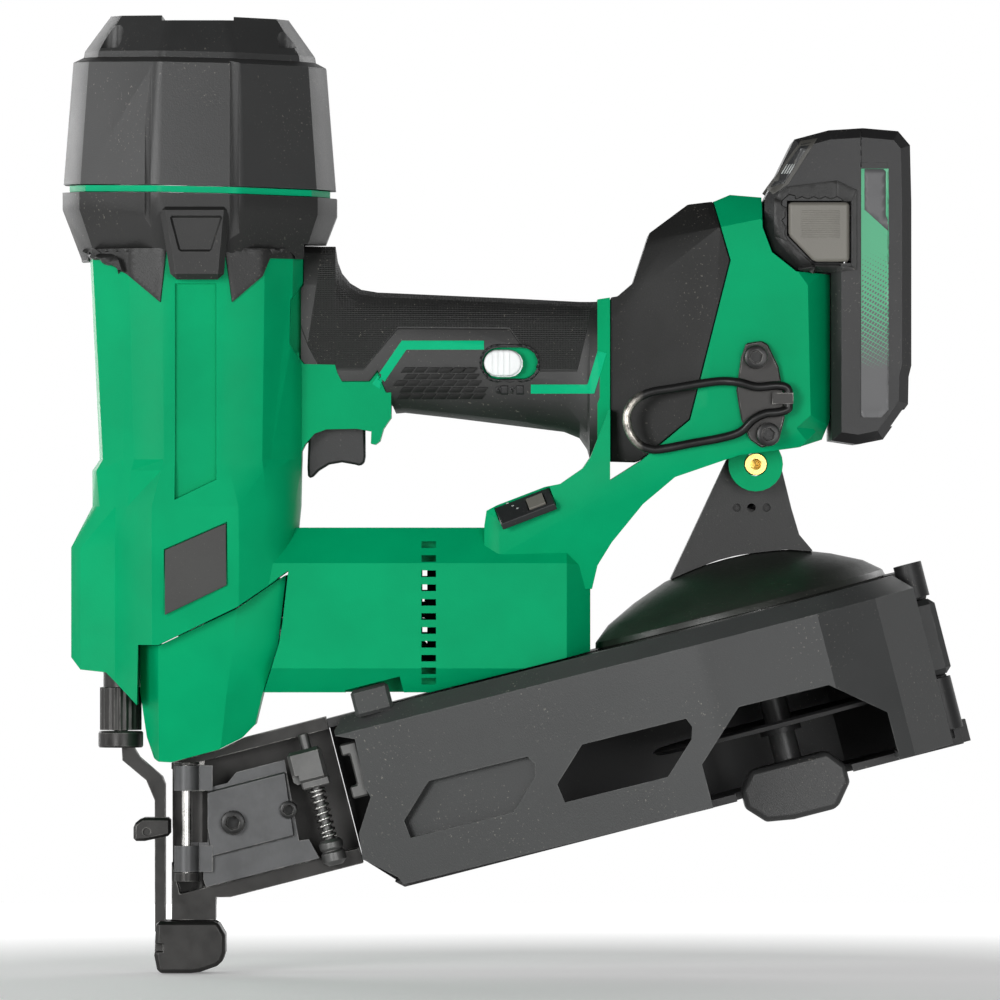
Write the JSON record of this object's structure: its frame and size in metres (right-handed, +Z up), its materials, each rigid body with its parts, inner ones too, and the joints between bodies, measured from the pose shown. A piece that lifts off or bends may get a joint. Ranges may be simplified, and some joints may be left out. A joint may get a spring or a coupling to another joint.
{
  "type": "cordless coil roofing nailer",
  "caption": "Hand-held coil roofing nailer with an air-spring drive, slide-on battery, drum magazine with opening cover, nail door, trigger, push lever, depth dial and swinging hook.",
  "frame": {"origin": "bottom centre of the bounding box, level with the work-contact face", "axes": "+Z up along the driving axis from the nose to the head, +X from the nose side back towards the battery, -Y out of the near side with the cover, door and hook"},
  "size_m": [0.331, 0.124, 0.3485],
  "materials": {
    "green_plastic": "satin moulded, vivid green",
    "black_plastic": "matte, lightly textured",
    "grip_rubber": "matte moulded elastomer",
    "magazine_plastic": "satin, glass-filled",
    "smoke_plastic": "glossy smoke",
    "black_steel": "black oxide",
    "gunmetal": "phosphate grey",
    "bright_steel": "ground",
    "brass": "polished",
    "white_plastic": "smooth",
    "latch_plastic": "matte",
    "aluminium": "machined",
    "copper": "enamelled winding",
    "circuit_board": "varnished"
  },
  "bodies": {
    "tool_body": {"housing_left": "green_plastic", "housing_right": "green_plastic", "head_cap": "black_plastic", "cap_ring": "green_plastic", "head_collar": "black_plastic", "air_chamber": "aluminium", "cylinder": "aluminium", "bumper": "grip_rubber", "ring_gear": "gunmetal", "motor_stator": "copper", "nose_cover": "green_plastic", "label_plate": "black_plastic", "grip_left": "grip_rubber", "grip_right": "grip_rubber", "rear_pad_left": "grip_rubber", "rear_pad_right": "grip_rubber", "trigger_pin": "bright_steel", "trigger_switch": "black_plastic", "control_panel": "black_plastic", "nose_body": "black_steel", "door_hinge_pin": "bright_steel", "latch_bracket": "gunmetal", "latch_spring": "bright_steel", "contact_spring": "bright_steel", "magazine_body": "black_plastic", "magazine_lid": "smoke_plastic", "magazine_arm": "black_plastic", "arm_insert": "brass", "holder_knob": "black_plastic", "controller_board": "circuit_board", "terminal_block": "black_plastic", "hook_base": "black_steel", "hook_screw_upper": "black_steel", "hook_screw_lower": "black_steel"},
    "driver": {"piston": "aluminium", "driver_blade": "bright_steel"},
    "lifter": {"lifter_wheel": "bright_steel"},
    "planet_1": {"planet_gear_1": "bright_steel"},
    "planet_2": {"planet_gear_2": "bright_steel"},
    "planet_3": {"planet_gear_3": "bright_steel"},
    "rotor": {"motor_rotor": "gunmetal", "cooling_fan": "black_plastic"},
    "trigger": {"trigger": "black_plastic"},
    "lock": {"lock_slider": "white_plastic"},
    "mode_key": {"mode_button": "latch_plastic"},
    "contact": {"contact_arm": "black_steel", "contact_nose": "black_steel"},
    "dial": {"depth_dial": "black_steel"},
    "door": {"nail_door": "gunmetal", "door_screw_front": "black_steel", "door_screw_rear": "black_steel"},
    "latch": {"latch_pin": "black_steel"},
    "cover": {"magazine_cover": "magazine_plastic", "cover_catch": "gunmetal"},
    "holder": {"nail_holder": "magazine_plastic"},
    "battery": {"battery_case": "black_plastic", "cell_pack": "gunmetal"},
    "battery_key_left": {"battery_latch_left": "latch_plastic"},
    "battery_key_right": {"battery_latch_right": "latch_plastic"},
    "hook": {"hook_wire": "black_steel"}
  },
  "joints": [
    {"name": "driver_slide", "type": "slide", "parent": "tool_body", "child": "driver", "axis": [0, 0, 1], "range_m": [-0.06, 0]},
    {"name": "lifter_turn", "type": "hinge", "parent": "tool_body", "child": "lifter", "pos_m": [-0.11685, 0.011, 0.1322], "axis": [1, 0, 0], "range_deg": [0, 343.8]},
    {"name": "rotor_spin", "type": "hinge", "parent": "tool_body", "child": "rotor", "pos_m": [-0.05685, 0.011, 0.1322], "axis": [1, 0, 0], "range_deg": [0, 1203.3]},
    {"name": "planet_1_spin", "type": "hinge", "parent": "lifter", "child": "planet_1", "pos_m": [-0.09435, 0.011, 0.1427], "axis": [1, 0, 0], "range_deg": [-1146, 0]},
    {"name": "planet_2_spin", "type": "hinge", "parent": "lifter", "child": "planet_2", "pos_m": [-0.09435, 0.00191, 0.12695], "axis": [1, 0, 0], "range_deg": [-1146, 0]},
    {"name": "planet_3_spin", "type": "hinge", "parent": "lifter", "child": "planet_3", "pos_m": [-0.09435, 0.02009, 0.12695], "axis": [1, 0, 0], "range_deg": [-1146, 0]},
    {"name": "trigger_pull", "type": "hinge", "parent": "tool_body", "child": "trigger", "pos_m": [-0.07235, 0, 0.2075], "axis": [0, -1, 0], "range_deg": [0, 7], "stiffness_Nm_per_rad": 0.6, "springref_deg": -6.88},
    {"name": "lock_slide", "type": "slide", "parent": "tool_body", "child": "lock", "axis": [1, 0, 0], "range_m": [0, 0.005]},
    {"name": "mode_press", "type": "slide", "parent": "tool_body", "child": "mode_key", "axis": [0.2975, 0.5547, -0.777], "range_m": [0, 0.001], "stiffness_N_per_m": 400, "springref_m": -0.0005},
    {"name": "contact_press", "type": "slide", "parent": "tool_body", "child": "contact", "axis": [0, 0, 1], "range_m": [0, 0.008], "stiffness_N_per_m": 600, "springref_m": -0.01, "deforming": ["contact_spring"]},
    {"name": "dial_turn", "type": "hinge", "parent": "contact", "child": "dial", "pos_m": [-0.14465, 0, 0.095], "axis": [0, 0, 1], "range_deg": [-180, 180]},
    {"name": "door_swing", "type": "hinge", "parent": "tool_body", "child": "door", "pos_m": [-0.12035, -0.0132, 0.055], "axis": [0, 0, -1], "range_deg": [0, 100]},
    {"name": "latch_lift", "type": "slide", "parent": "tool_body", "child": "latch", "axis": [-0.2487, 0, 0.9686], "range_m": [0, 0.005], "stiffness_N_per_m": 500, "springref_m": -0.003, "deforming": ["latch_spring"]},
    {"name": "cover_swing", "type": "hinge", "parent": "tool_body", "child": "cover", "pos_m": [0.14904, -0.008, 0.1216], "axis": [-0.2487, 0, 0.9686], "range_deg": [0, 95]},
    {"name": "holder_slide", "type": "slide", "parent": "tool_body", "child": "holder", "axis": [-0.2487, 0, 0.9686], "range_m": [0, 0.02]},
    {"name": "battery_slide", "type": "slide", "parent": "tool_body", "child": "battery", "axis": [0, 0, 1], "range_m": [0, 0.12]},
    {"name": "battery_key_left_press", "type": "slide", "parent": "battery", "child": "battery_key_left", "axis": [0, 1, 0], "range_m": [0, 0.0025], "stiffness_N_per_m": 800, "springref_m": -0.002},
    {"name": "battery_key_right_press", "type": "slide", "parent": "battery", "child": "battery_key_right", "axis": [0, -1, 0], "range_m": [0, 0.0025], "stiffness_N_per_m": 800, "springref_m": -0.002},
    {"name": "hook_swing", "type": "hinge", "parent": "tool_body", "child": "hook", "pos_m": [0.09795, -0.0425, 0.209], "axis": [0, 0, 1], "range_deg": [0, 90]}
  ],
  "couplings": [
    {"joint": "lifter_turn", "follows": "driver_slide", "rad_per_m": -100},
    {"joint": "rotor_spin", "follows": "driver_slide", "rad_per_m": -350},
    {"joint": "planet_1_spin", "follows": "driver_slide", "rad_per_m": 333.33},
    {"joint": "planet_2_spin", "follows": "driver_slide", "rad_per_m": 333.33},
    {"joint": "planet_3_spin", "follows": "driver_slide", "rad_per_m": 333.33}
  ]
}
